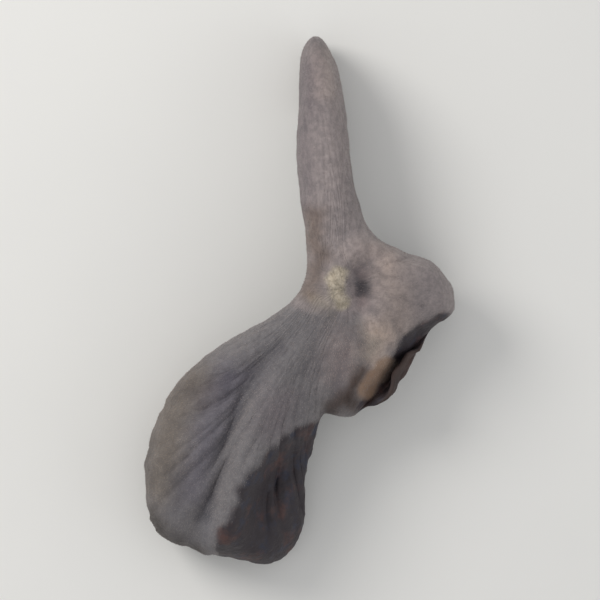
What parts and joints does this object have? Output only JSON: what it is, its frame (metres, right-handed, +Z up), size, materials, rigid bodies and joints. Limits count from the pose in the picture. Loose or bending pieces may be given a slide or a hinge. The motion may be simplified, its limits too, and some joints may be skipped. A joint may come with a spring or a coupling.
{
  "type": "dried wood ear mushroom",
  "caption": "Dried wood ear fungus: a thin, crumpled, lobed fruit body that lies on its margins with its velvety outer side up.",
  "frame": {"origin": "on the surface that the fruit body rests on, below the middle of its outline as seen from above", "axes": "+Z up, out of the velvety side; +Y towards the tip of the finger-shaped lobe, along the greatest length; +X towards the pointed side lobe"},
  "size_m": [0.0298, 0.051, 0.0133],
  "materials": {
    "skin": "dull, finely velvety outside and smooth inside"
  },
  "bodies": {
    "root": {"fruit_body": "skin"}
  },
  "joints": []
}
